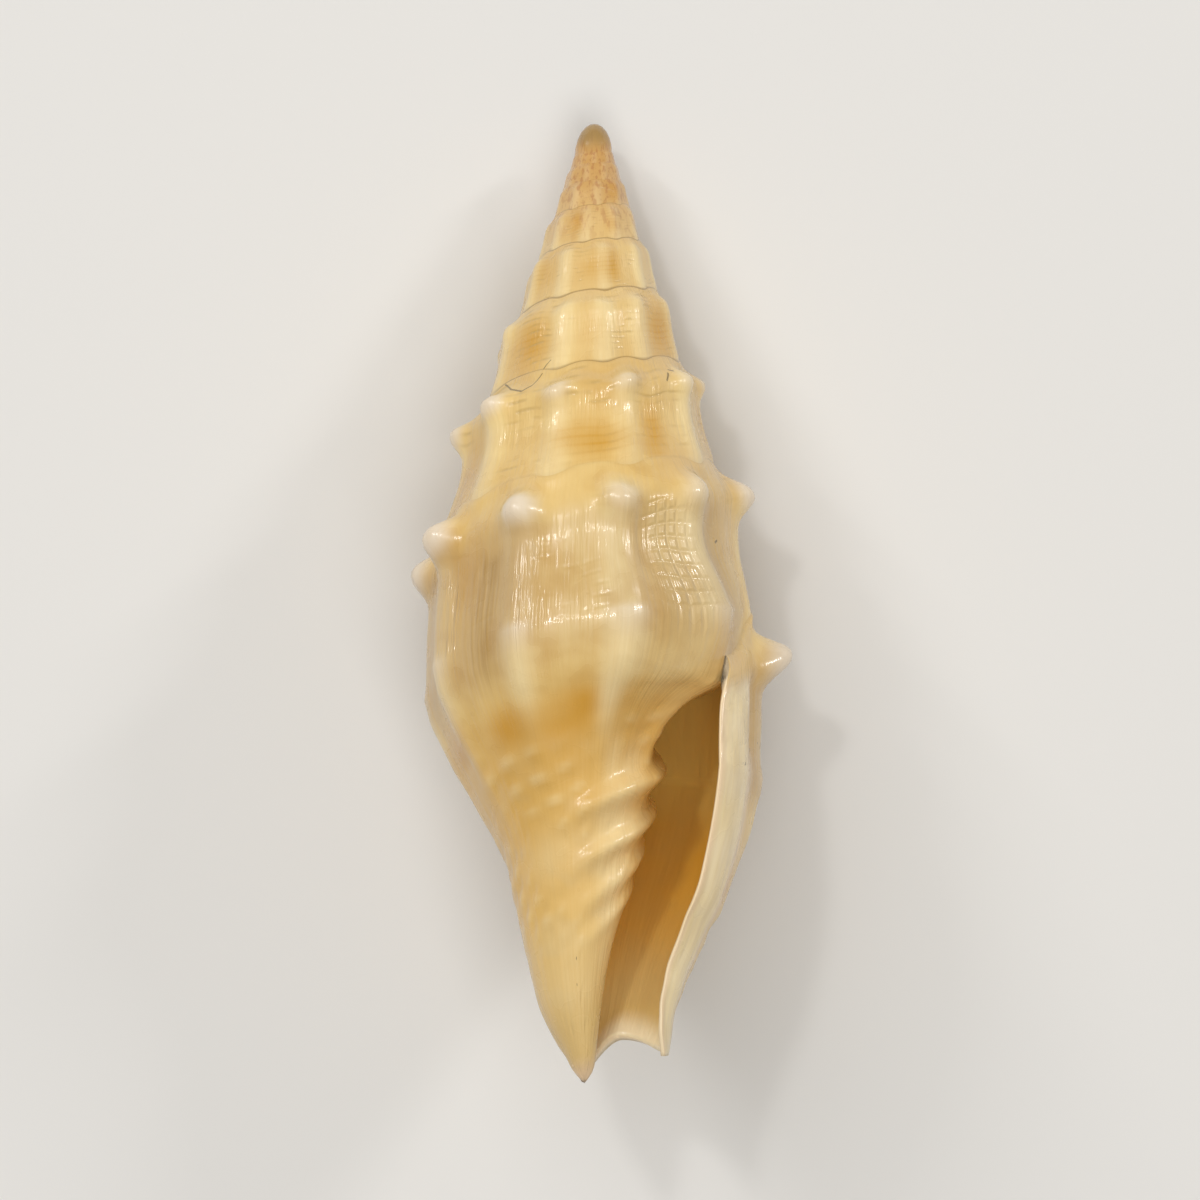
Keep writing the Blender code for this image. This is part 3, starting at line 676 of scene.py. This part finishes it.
# Node tools
class Nodes:
    """Short ways to place and join shader nodes in one tree."""

    def __init__(self, tree):
        self.tree = tree

    def add(self, kind, **settings):
        node = self.tree.nodes.new(kind)
        for name, value in settings.items():
            setattr(node, name, value)
        return node

    def put(self, socket, value):
        if isinstance(value, bpy.types.NodeSocket):
            self.tree.links.new(value, socket)
        elif value is not None:
            socket.default_value = value

    def fill(self, node, values):
        for name, value in values.items():
            self.put(node.inputs[name], value)

    def math(self, how, one, two=None, three=None, clamp=False):
        node = self.add("ShaderNodeMath", operation=how, use_clamp=clamp)
        for socket, value in zip(node.inputs, (one, two, three)):
            self.put(socket, value)
        return node.outputs[0]

    def times(self, first, *others):
        """All the values multiplied."""
        found = first
        for other in others:
            found = self.math("MULTIPLY", found, other)
        return found

    def plus(self, one, two):
        return self.math("ADD", one, two)

    def most(self, one, two):
        return self.math("MAXIMUM", one, two)

    def spread(self, value, low, high, to_low=0.0, to_high=1.0, smooth=True):
        """value from low..high mapped to to_low..to_high, held at the ends."""
        node = self.add("ShaderNodeMapRange", interpolation_type="SMOOTHSTEP" if smooth else "LINEAR")
        self.fill(node, {"Value": value, "From Min": low, "From Max": high})
        self.fill(node, {"To Min": to_low, "To Max": to_high})
        return node.outputs["Result"]

    def bump_at(self, value, middle, wide):
        """1 where value is middle, 0 past wide on either side."""
        off = self.math("ABSOLUTE", self.math("SUBTRACT", value, middle))
        return self.spread(off, 0.0, wide, 1.0, 0.0)

    def mix(self, share, one, two, how="MIX"):
        node = self.add("ShaderNodeMix", data_type="RGBA", blend_type=how)
        self.fill(node, {"Factor": share, "A": one, "B": two})
        return node.outputs["Result"]

    def noise(self, vector, scale, detail=2.0, rough=0.5):
        node = self.add("ShaderNodeTexNoise")
        self.fill(node, {"Vector": vector, "Scale": scale, "Detail": detail, "Roughness": rough})
        return node.outputs["Fac"]

    def vector(self, x, y, z):
        node = self.add("ShaderNodeCombineXYZ")
        for socket, value in zip(node.inputs, (x, y, z)):
            self.put(socket, value)
        return node.outputs[0]


def new_group(name, inputs, outputs):
    """A shader group: its tree, its Nodes, and the sockets inside it for its inputs and outputs."""
    tree = bpy.data.node_groups.new(name, "ShaderNodeTree")
    for label, kind in inputs:
        tree.interface.new_socket(label, in_out="INPUT", socket_type=kind)
    for label, kind in outputs:
        tree.interface.new_socket(label, in_out="OUTPUT", socket_type=kind)
    source = tree.nodes.new("NodeGroupInput")
    target = tree.nodes.new("NodeGroupOutput")
    return tree, Nodes(tree), source.outputs, target.inputs


def group_node(n, tree, **values):
    node = n.add("ShaderNodeGroup", node_tree=tree)
    n.fill(node, values)
    return node.outputs


FLOAT = "NodeSocketFloat"
VECTOR = "NodeSocketVector"


def growth_lines_group():
    """Fine lines along the growing edge: uneven, and thicker in places."""
    tree, n, given, out = new_group(
        "growth_lines", [("Turn", FLOAT), ("Level", FLOAT), ("Lines", FLOAT)], [("Height", FLOAT)]
    )
    across = n.times(given["Turn"], given["Lines"])
    place = n.vector(across, n.times(given["Level"], 2.5), 0.0)
    fine = n.noise(place, 1.0, 2.0, 0.6)
    n.put(out["Height"], n.spread(fine, 0.3, 0.7, 0.0, 1.0, smooth=False))
    return tree


def spiral_grooves_group():
    """Short uneven grooves that run round the whorl, only here and there and between the ribs."""
    tree, n, given, out = new_group(
        "spiral_grooves",
        [("Turn", FLOAT), ("Level", FLOAT), ("Lines", FLOAT), ("Ribs", FLOAT)],
        [("Groove", FLOAT), ("Dashes", FLOAT)],
    )
    turn = given["Turn"]
    waver = n.noise(n.vector(n.times(turn, 14.0), given["Level"], 0.0), 1.0, 1.0)
    place = n.plus(n.times(given["Level"], given["Lines"]), n.times(waver, 1.8))
    off = n.math("ABSOLUTE", n.math("SUBTRACT", n.math("FRACT", place), 0.5))
    line = n.spread(off, 0.0, 0.3, 1.0, 0.0)
    row = n.times(n.math("FLOOR", place), 7.3)
    dash = n.noise(n.vector(n.times(turn, 34.0), row, 0.0), 1.0, 1.0)
    where = n.noise(n.vector(n.times(turn, 11.0), n.times(given["Level"], 2.2), 4.0), 1.0, 0.0)
    broken = n.times(n.spread(dash, 0.42, 0.68), n.spread(where, 0.42, 0.6))
    between = n.spread(given["Ribs"], 0.3, 0.9, 1.0, 0.1)
    n.put(out["Groove"], line)
    n.put(out["Dashes"], n.times(n.times(line, broken), between))
    return tree


# Hairline cracks and dark specks: ends of each as (turn, level), and half their width in millimetres
CRACKS = (
    ((-1.702, 0.012), (-1.730, 0.121), 0.022), ((-1.730, 0.121), (-1.755, 0.185), 0.024),
    ((-1.755, 0.185), (-1.769, 0.150), 0.022), ((-1.769, 0.150), (-1.780, 0.040), 0.020),
    ((-2.780, 0.99), (-2.792, 0.907), 0.014), ((-1.997, 0.145), (-2.004, 0.160), 0.022),
    ((-1.991, 0.185), (-1.984, 0.251), 0.034), ((-0.080, 0.828), (-0.080, 0.832), 0.040),
    ((-0.098, 0.787), (-0.098, 0.790), 0.028), ((-1.030, 0.564), (-1.034, 0.556), 0.034),
    ((-0.827, 1.729), (-0.826, 1.731), 0.034), ((-0.823, 1.784), (-0.824, 1.786), 0.030),
    ((-0.043, 0.938), (-0.046, 0.946), 0.026), ((-0.046, 0.946), (-0.042, 0.957), 0.026),
    ((-0.038, 0.941), (-0.037, 0.955), 0.020),
)


def stroke_group():
    """A thin straight stroke from A to B over the shell's skin, whose width is measured in millimetres."""
    inputs = [("Turn", FLOAT), ("Level", FLOAT)] + [(name, VECTOR) for name in ("A", "B", "Scale")]
    inputs.append(("Width", FLOAT))
    tree, n, given, out = new_group("stroke", inputs, [("Stroke", FLOAT)])

    def vector_math(how, one, two):
        node = n.add("ShaderNodeVectorMath", operation=how)
        n.put(node.inputs[0], one)
        n.put(node.inputs[1], two)
        return node.outputs["Value"] if how in ("DOT_PRODUCT", "DISTANCE") else node.outputs[0]

    here = vector_math("MULTIPLY", n.vector(given["Turn"], given["Level"], 0.0), given["Scale"])
    start = vector_math("MULTIPLY", given["A"], given["Scale"])
    run = vector_math("SUBTRACT", vector_math("MULTIPLY", given["B"], given["Scale"]), start)
    along = vector_math("DOT_PRODUCT", vector_math("SUBTRACT", here, start), run)
    share = n.math("DIVIDE", along, vector_math("DOT_PRODUCT", run, run), clamp=True)
    nearest = vector_math("ADD", start, vector_math("MULTIPLY", run, n.vector(share, share, share)))
    away = vector_math("DISTANCE", here, nearest)
    n.put(out["Stroke"], n.spread(away, n.times(given["Width"], 0.4), given["Width"], 1.0, 0.0))
    return tree


def cracks_group(stroke):
    """Every crack and speck in one mask."""
    tree, n, given, out = new_group("cracks", [("Turn", FLOAT), ("Level", FLOAT)], [("Crack", FLOAT)])
    found = None
    for one, two, width in CRACKS:
        size = float(whorl_height(one[0]))
        tall = 0.30 * size if one[0] < -1 else (8.2 if one[1] > 1.1 else 4.0)
        ends = {"A": (*one, 0), "B": (*two, 0), "Scale": (2 * math.pi * 0.42 * size, tall, 1)}
        mask = group_node(n, stroke, Turn=given["Turn"], Level=given["Level"], Width=width, **ends)[0]
        found = mask if found is None else n.most(found, mask)
    n.put(out["Crack"], found)
    return tree


def specks_group():
    """Tiny dark pits, few and scattered."""
    tree, n, given, out = new_group("specks", [("Place", VECTOR), ("Scale", FLOAT)], [("Speck", FLOAT)])
    cells = n.add("ShaderNodeTexVoronoi", feature="F1")
    n.fill(cells, {"Vector": given["Place"], "Scale": given["Scale"]})
    rare = n.add("ShaderNodeSeparateColor")
    n.put(rare.inputs[0], cells.outputs["Color"])
    chosen = n.spread(rare.outputs[0], 0.955, 0.965)
    near = n.spread(cells.outputs["Distance"], 0.03, 0.075, 1.0, 0.0)
    n.put(out["Speck"], n.times(near, chosen))
    return tree


def colour(red, green, blue):
    """A colour given as it looks on a screen, 0 to 255, in the linear values that nodes take."""
    linear = []
    for part in (red, green, blue):
        part /= 255
        linear.append(part / 12.92 if part <= 0.04045 else ((part + 0.055) / 1.055) ** 2.4)
    return (*linear, 1.0)


CREAM = colour(240, 210, 142)
TAN = colour(222, 186, 118)
PALE = colour(246, 224, 172)
KNOB_WHITE = colour(234, 220, 200)
AMBER = colour(206, 150, 38)
BAND = colour(206, 148, 42)
OLIVE_TAN = colour(200, 168, 104)
BASE_YELLOW = colour(228, 190, 118)
CANAL_CREAM = colour(222, 194, 138)
APEX_TAN = colour(194, 140, 78)
APEX_TIP = colour(156, 128, 80)
REDDISH = colour(170, 108, 70)
# brown of some growth lines and the lip's striae, and painted shade in the sutures' creases
SEAM_AND_CREASE_SHADE = colour(138, 104, 52)
DEEP_GOLD = colour(255, 218, 110)
INSIDE_OCHRE = colour(250, 192, 72)
INSIDE_TAN = colour(226, 192, 120)
LIP_CREAM = colour(250, 232, 190)
LIP_PINK = colour(236, 206, 178)
PIT = colour(84, 70, 40)
BODY_TINT = (0.84, 0.86, 0.98, 1.0)
# painted shade for the last whorl's flanks
FLANK_PAINTED_SHADE = (0.92, 0.86, 0.80, 1.0)


def shell_material(name):
    material = bpy.data.materials.new(name)
    material.use_nodes = True
    material.node_tree.nodes.clear()
    n = Nodes(material.node_tree)
    return material, n


FINE_RELIEF = 0.02 * MM  # full height of the grooves and growth lines that the shader adds
LIP_RELIEF = 0.01 * MM
GLAZE = 0.3
GLAZE_ROUGHNESS = 0.08
SHELL_IOR = 1.53


def finish_material(n, base_color, roughness, height, distance):
    """The glossy shell, its relief and the thin glaze over it."""
    bump = n.add("ShaderNodeBump")
    n.fill(bump, {"Height": height, "Distance": distance, "Strength": 1.0})
    look = n.add("ShaderNodeBsdfPrincipled")
    values = {
        "Base Color": base_color,
        "Roughness": roughness,
        "Normal": bump.outputs["Normal"],
        "Coat Normal": bump.outputs["Normal"],
        "IOR": SHELL_IOR,
        "Coat Weight": GLAZE,
        "Coat Roughness": GLAZE_ROUGHNESS,
    }
    n.fill(look, values)
    out = n.add("ShaderNodeOutputMaterial")
    n.put(out.inputs["Surface"], look.outputs[0])


def growth_sockets(n):
    """Turn, level, rib mask and knob mask of the point, and its place."""
    grown = n.add("ShaderNodeSeparateXYZ")
    n.put(grown.inputs[0], n.add("ShaderNodeUVMap", uv_map="growth").outputs[0])
    masks = n.add("ShaderNodeSeparateXYZ")
    n.put(masks.inputs[0], n.add("ShaderNodeUVMap", uv_map="masks").outputs[0])
    place = n.add("ShaderNodeTexCoord").outputs["Object"]
    return grown.outputs[0], grown.outputs[1], masks.outputs[0], masks.outputs[1], place


def outside_values(n, lines, grooves):
    """The sockets that the outside's colour and relief are mixed from."""
    turn, level, ribs, knobs, place = growth_sockets(n)
    tints = n.add("ShaderNodeSeparateColor")
    painted = n.add("ShaderNodeAttribute", attribute_name="stains")
    n.put(tints.inputs[0], painted.outputs["Color"])
    gold, orange, pale = tints.outputs
    groove = group_node(n, grooves, Turn=turn, Level=level, Lines=12.0, Ribs=ribs)
    grown = {"turn": turn, "level": level, "ribs": ribs, "knobs": knobs, "place": place}
    stained = {"gold": gold, "orange": orange, "pale": pale}
    return SimpleNamespace(
        **grown,
        **stained,
        olive=painted.outputs["Alpha"],
        spire=n.spread(turn, -1.3, -1.0, 1.0, 0.0),
        base=n.spread(level, 1.12, 1.3),
        groove=groove["Groove"],
        dashes=groove["Dashes"],
        line=group_node(n, lines, Turn=turn, Level=level, Lines=210.0)["Height"],
        wide_line=group_node(n, lines, Turn=turn, Level=level, Lines=46.0)["Height"],
        cloud=n.noise(place, 420.0, 3.0, 0.65),
        soft=n.noise(place, 140.0, 1.0),
    )


def side_colour(n, at):
    color = n.mix(n.spread(at.cloud, 0.36, 0.62), TAN, CREAM)
    color = n.mix(n.times(n.spread(at.soft, 0.4, 0.65), 0.35), color, PALE)
    # darker hollows between the ribs, paler crests
    hollow = n.spread(at.ribs, 0.05, 0.6, 1.0, 0.0)
    color = n.mix(n.times(hollow, 0.22), color, AMBER)
    crest = n.times(n.spread(at.ribs, 0.3, 1.0), n.spread(at.spire, 0.0, 1.0, 0.22, 0.4))
    color = n.mix(crest, color, PALE)
    color = n.mix(n.times(at.olive, 0.6), color, OLIVE_TAN)
    # the last whorl's side is duller; left and right of its front it is darker still, painted shade where it
    # turns away from the lamps
    body = n.times(n.spread(at.turn, -1.07, -1.0), n.spread(at.level, 0.15, 0.4))
    body = n.times(body, n.spread(at.level, 1.02, 1.16, 1.0, 0.0))
    color = n.mix(body, color, BODY_TINT, "MULTIPLY")
    # painted shade: the last whorl's left and right flanks, and a strip right of its front, are darkened
    shaded_flanks = n.most(n.spread(at.turn, -0.84, -0.77), n.bump_at(at.turn, -0.912, 0.022))
    shaded_flanks = n.most(shaded_flanks, n.spread(at.turn, -0.985, -1.0))
    color = n.mix(n.times(body, shaded_flanks), color, FLANK_PAINTED_SHADE, "MULTIPLY")
    brown = n.times(body, n.bump_at(at.turn, -0.745, 0.045), n.spread(at.level, 0.4, 0.55))
    color = n.mix(n.times(brown, at.line, 0.5), color, SEAM_AND_CREASE_SHADE)
    # golden stains, brushed round the whorl
    brushed = n.spread(at.groove, 0.0, 1.0, 0.8, 1.0)
    color = n.mix(n.times(at.gold, brushed, n.spread(at.cloud, 0.25, 0.6, 0.8, 1.0)), color, AMBER)
    return n.mix(n.times(at.dashes, at.spire, 0.7), color, OLIVE_TAN)


def with_base_colour(n, at, color):
    """Yellow mottled base, orange band, and a canal that pales and pinks towards its end."""
    color = n.mix(n.times(at.base, 0.75), color, BASE_YELLOW)
    bead = n.noise(at.place, 900.0, 1.0)
    color = n.mix(n.times(at.base, n.spread(bead, 0.48, 0.66), 0.45), color, CANAL_CREAM)
    cloudy = n.times(at.base, n.spread(at.soft, 0.5, 0.35), n.spread(at.level, 1.5, 1.7, 0.35, 0.05))
    color = n.mix(cloudy, color, AMBER)
    color = n.mix(n.times(at.orange, n.spread(at.cloud, 0.3, 0.7, 0.75, 1.0)), color, BAND)
    for start, end, share, tone in (
        (1.6, 1.8, 0.6, CANAL_CREAM),
        (1.78, 1.88, 0.4, OLIVE_TAN),
        (1.93, 1.99, 0.6, LIP_PINK),
    ):
        color = n.mix(n.times(n.spread(at.level, start, end), share), color, tone)
    color = n.mix(n.times(at.pale, 0.75), color, PALE)
    return n.mix(n.times(n.spread(at.knobs, 0.1, 0.85), 0.85), color, KNOB_WHITE)


def with_lip_band(n, at, color):
    band = n.mix(n.spread(at.cloud, 0.3, 0.7), LIP_CREAM, PALE)
    rims = n.most(n.spread(at.turn, -0.012, 0.0), n.spread(at.turn, -0.045, -0.066))
    band = n.mix(n.times(rims, 0.6), band, LIP_PINK)
    band = n.mix(n.times(n.spread(at.wide_line, 0.2, 0.9), 0.22), band, SEAM_AND_CREASE_SHADE)
    band = n.mix(n.times(at.orange, 0.6), band, BAND)
    lip = n.spread(at.turn, -0.085, -0.06)
    return n.mix(n.times(lip, n.spread(at.level, 0.2, 0.4), 0.9), color, band)


def with_apex_colour(n, at, color):
    """Reddish-tan first whorls with a greyish tip, by height in metres with an uneven edge."""
    height = n.add("ShaderNodeSeparateXYZ")
    n.put(height.inputs[0], at.place)
    uneven = n.math("MULTIPLY_ADD", at.cloud, 0.0009, height.outputs[1])
    color = n.mix(n.spread(uneven, 0.0095, 0.0127, 0.0, 0.62), color, APEX_TAN)
    streaks = n.times(n.spread(uneven, 0.0098, 0.0118), n.spread(at.wide_line, 0.45, 0.85), 0.5)
    color = n.mix(streaks, color, REDDISH)
    return n.mix(n.spread(uneven, 0.0127, 0.0133, 0.0, 0.85), color, APEX_TIP)


def with_fine_marks(n, at, color, specks, cracks):
    """Painted shade in the sutures' creases as fine brown lines, soft on the large whorls, then growth
    lines, specks and cracks.
    """
    # painted shade: a brown line along each suture, and on the spire along each whorl's lower edge, for the
    # shade in its crease
    thin = n.most(n.bump_at(at.level, 0.0, 0.024), n.times(n.bump_at(at.level, 1.0, 0.02), at.spire))
    dark = n.most(n.spread(at.turn, -2.9, -2.5, 0.7, 0.1), n.bump_at(at.turn, -2.72, 0.08))
    dark = n.times(dark, n.spread(at.turn, -6.6, -4.7, 0.0, 1.0))
    color = n.mix(n.times(thin, dark, n.spread(at.soft, 0.35, 0.55, 0.45, 1.0)), color, SEAM_AND_CREASE_SHADE)
    color = n.mix(n.times(at.line, 0.1), color, AMBER)
    speck = group_node(n, specks, Place=at.place, Scale=480.0)["Speck"]
    crack = group_node(n, cracks, Turn=at.turn, Level=at.level)["Crack"]
    return n.mix(n.most(n.times(speck, 0.6), n.times(crack, 0.75)), color, PIT)


def outside_relief(n, at):
    # spiral grooves cut the last whorl's glaze into a lattice beside the pause in growth
    lattice = n.times(n.bump_at(at.turn, -0.952, 0.04), n.spread(at.level, 0.25, 0.35))
    lattice = n.times(lattice, n.spread(at.level, 1.0, 1.1, 1.0, 0.0))
    upright = n.math("FRACT", n.times(at.turn, 86.0))
    upright = n.most(at.groove, n.bump_at(upright, 0.5, 0.3))
    deep = n.plus(n.times(lattice, upright, 1.15), n.times(at.dashes, 0.6))
    # bright streaks run down two of the last whorl's ribs
    streaked = n.most(n.bump_at(at.turn, -0.799, 0.022), n.bump_at(at.turn, -0.695, 0.026))
    streaked = n.times(streaked, n.spread(at.level, 0.4, 0.5), n.spread(at.level, 0.95, 1.1, 1.0, 0.0))
    weight = n.plus(n.spread(at.base, 0.0, 1.0, 0.5, 0.12), n.times(streaked, 1.4))
    fine = n.times(at.line, weight)
    height = n.plus(n.plus(n.times(deep, -1.0), fine), n.times(at.wide_line, 0.5))
    return n.times(height, n.spread(at.turn, -7.0, -1.5, 0.05, 1.0))


def outside_material(lines, grooves, specks, cracks):
    material, n = shell_material("shell_outside")
    at = outside_values(n, lines, grooves)
    color = with_base_colour(n, at, side_colour(n, at))
    color = with_apex_colour(n, at, with_lip_band(n, at, color))
    color = with_fine_marks(n, at, color, specks, cracks)
    roughness = n.spread(at.cloud, 0.3, 0.7, 0.2, 0.36)
    finish_material(n, color, roughness, outside_relief(n, at), FINE_RELIEF)
    return material


def inside_material(lines):
    material, n = shell_material("shell_inside")
    turn, level, _, _, place = growth_sockets(n)
    line = group_node(n, lines, Turn=turn, Level=level, Lines=60.0)["Height"]
    cloud = n.noise(place, 300.0, 3.0)
    color = n.mix(n.spread(level, 0.9, 1.3), DEEP_GOLD, INSIDE_OCHRE)
    color = n.mix(n.spread(level, 1.45, 1.85), color, INSIDE_TAN)
    color = n.mix(n.times(n.spread(cloud, 0.35, 0.65), 0.35), color, INSIDE_TAN)
    color = n.mix(n.times(n.spread(turn, -0.05, 0.0), 0.6), color, LIP_CREAM)
    color = n.mix(n.spread(level, 1.88, 1.98), color, LIP_CREAM)
    # low ridges that run inward behind the lip
    wave = n.math("SINE", n.times(level, 58.0))
    ridges = n.times(n.spread(wave, 0.2, 1.0), n.bump_at(turn, -0.1, 0.08), n.bump_at(level, 0.95, 0.45))
    height = n.math("MULTIPLY_ADD", ridges, 2.2, n.times(line, 0.6))
    finish_material(n, color, 0.34, height, FINE_RELIEF)
    return material


def lip_material(lines):
    material, n = shell_material("shell_lip")
    turn, level, _, _, place = growth_sockets(n)
    line = group_node(n, lines, Turn=turn, Level=level, Lines=200.0)["Height"]
    cloud = n.noise(place, 500.0, 3.0)
    color = n.mix(n.spread(cloud, 0.3, 0.7), LIP_CREAM, PALE)
    color = n.mix(0.35, color, LIP_PINK)
    finish_material(n, color, 0.3, line, LIP_RELIEF)
    return material


def placed(name, data):
    """An object that holds the mesh, camera or light, in the scene."""
    holder = bpy.data.objects.new(name, data)
    bpy.context.scene.collection.objects.link(holder)
    return holder


def make_shell():
    lines = growth_lines_group()
    grooves = spiral_grooves_group()
    mesh = shell_mesh()
    specks = specks_group()
    outside = outside_material(lines, grooves, specks, cracks_group(stroke_group()))
    for material in (outside, inside_material(lines), lip_material(lines)):
        mesh.materials.append(material)
    shell = placed("shell_surface", mesh)
    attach(shell, "root")
    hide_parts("shell")
    print("triangles", sum(len(p.vertices) - 2 for p in mesh.polygons))
    return shell


# Camera: the photograph's view, here from above
TILT = 12.0  # the view leans this much towards the apex
LEAN = math.atan(0.0098)  # the axis leans this much in the picture
PIXEL = 27.0 / 972.2  # millimetres of the shell to a pixel of the 1200 x 1200 frame
APEX_PIXEL = (594.5, 124.0)
FRAME_PIXELS = 1200
CAMERA_DISTANCE = 0.45


def make_camera(apex):
    """Looks at the shell as the photograph does. apex is the apex's place in the frame."""
    tilt = math.radians(TILT)
    right = mathutils.Vector((1, 0, 0))
    up = mathutils.Vector((0, math.cos(tilt), math.sin(tilt)))
    back = right.cross(up)
    right, up = right * math.cos(LEAN) + up * math.sin(LEAN), up * math.cos(LEAN) - right * math.sin(LEAN)
    turn = mathutils.Matrix.Rotation(math.radians(REST_PITCH), 3, "X")
    right, up, back = turn @ right, turn @ up, turn @ back
    middle = FRAME_PIXELS / 2
    across = (middle - APEX_PIXEL[0]) * PIXEL * MM
    down = (middle - APEX_PIXEL[1]) * PIXEL * MM
    target = apex + right * across - up * down
    camera = bpy.data.cameras.new("camera")
    holder = placed("camera", camera)
    matrix = mathutils.Matrix((right, up, back)).transposed().to_4x4()
    matrix.translation = target + back * CAMERA_DISTANCE
    holder.matrix_world = matrix
    camera.sensor_width = 36
    camera.lens = 36 * CAMERA_DISTANCE / (FRAME_PIXELS * PIXEL * MM)
    camera.clip_start = 0.01
    camera.clip_end = 10
    bpy.context.scene.camera = holder
    return right, up, back


def area_light(name, place, target, size, energy, mirrored=True):
    light = bpy.data.lights.new(name, "AREA")
    light.shape = "RECTANGLE"
    light.size, light.size_y = size
    light.energy = energy
    holder = placed(name, light)
    holder.location = place
    holder.visible_glossy = mirrored
    aim = mathutils.Vector(target) - mathutils.Vector(place)
    holder.rotation_euler = aim.to_track_quat("-Z", "Y").to_euler()


def make_studio():
    bpy.ops.mesh.primitive_plane_add(size=1.2, location=(0, 0, 0))
    floor = bpy.context.object
    floor.name = "floor"
    material, n = shell_material("pale_floor")
    look = n.add("ShaderNodeBsdfPrincipled")
    n.fill(look, {"Base Color": colour(226, 224, 220), "Roughness": 0.6})
    out = n.add("ShaderNodeOutputMaterial")
    n.put(out.inputs["Surface"], look.outputs[0])
    floor.data.materials.append(material)
    middle = (0, 0, 0.005)
    area_light("soft key", (-0.16, 0.26, 0.50), middle, (0.55, 0.55), 1.20, mirrored=False)
    area_light("overhead", (0.05, -0.14, 0.50), middle, (0.30, 0.30), 1.00, mirrored=False)
    area_light("spark", (-0.10, 0.15, 0.34), middle, (0.03, 0.03), 0.16)
    area_light("right strip", (0.25, 0.17, 0.17), middle, (0.03, 0.08), 0.24)
    area_light("left strip", (-0.23, 0.21, 0.23), middle, (0.03, 0.14), 0.26)
    world = bpy.data.worlds.new("studio")
    world.use_nodes = True
    background = world.node_tree.nodes["Background"]
    background.inputs["Color"].default_value = (1.0, 0.95, 0.88, 1)
    background.inputs["Strength"].default_value = 0.18
    bpy.context.scene.world = world
    bpy.context.scene.view_settings.view_transform = "Standard"


bpy.ops.object.select_all(action="DESELECT")
shell = make_shell()
apex = max((v.co for v in shell.data.vertices), key=lambda p: p.y).copy()
make_camera(apex)
make_studio()
